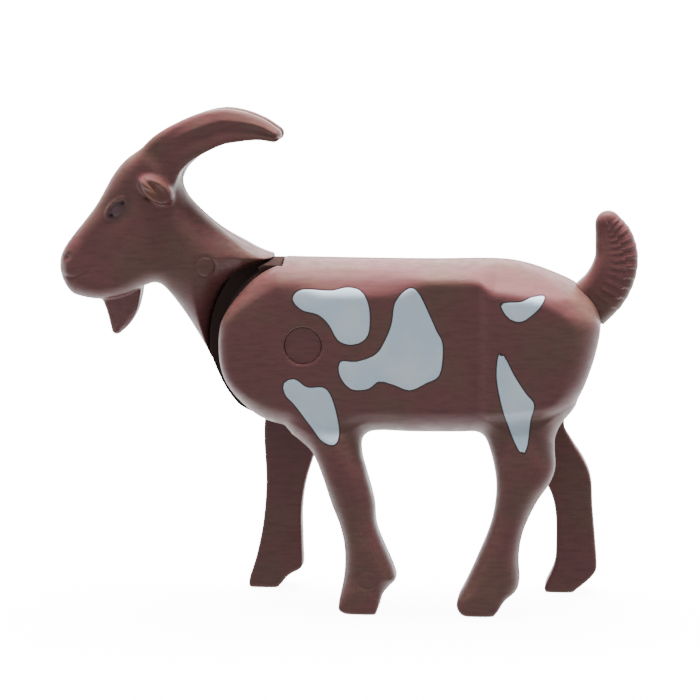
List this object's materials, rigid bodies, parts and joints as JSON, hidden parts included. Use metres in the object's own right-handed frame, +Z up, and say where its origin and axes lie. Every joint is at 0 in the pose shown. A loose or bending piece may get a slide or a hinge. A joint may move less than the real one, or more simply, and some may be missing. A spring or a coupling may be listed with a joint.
{
  "type": "toy goat",
  "caption": "standing moulded plastic toy goat with swept horns, beard, upright tail and pale coat patches; the neck and head nod on a pin through the shoulders",
  "frame": {"origin": "on the ground under the middle of the goat's bounding box", "axes": "+Z up, the goat faces -X, so +Y is its right side; +X runs from nose to tail"},
  "size_m": [0.0649, 0.0186, 0.0559],
  "materials": {
    "body_plastic": "satin streaked brown",
    "head_plastic": "satin streaked brown",
    "tail_plastic": "satin brown",
    "pin_plastic": "satin brown"
  },
  "bodies": {
    "body": {"body_left": "body_plastic", "body_right": "body_plastic", "tail": "tail_plastic", "neck_pivot_pin": "pin_plastic"},
    "head": {"head_left": "head_plastic", "head_right": "head_plastic"}
  },
  "joints": [
    {"name": "neck_nod", "type": "hinge", "parent": "body", "child": "head", "pos_m": [-0.0042, 0, 0.03], "axis": [0, -1, 0], "range_deg": [0, 45]}
  ]
}
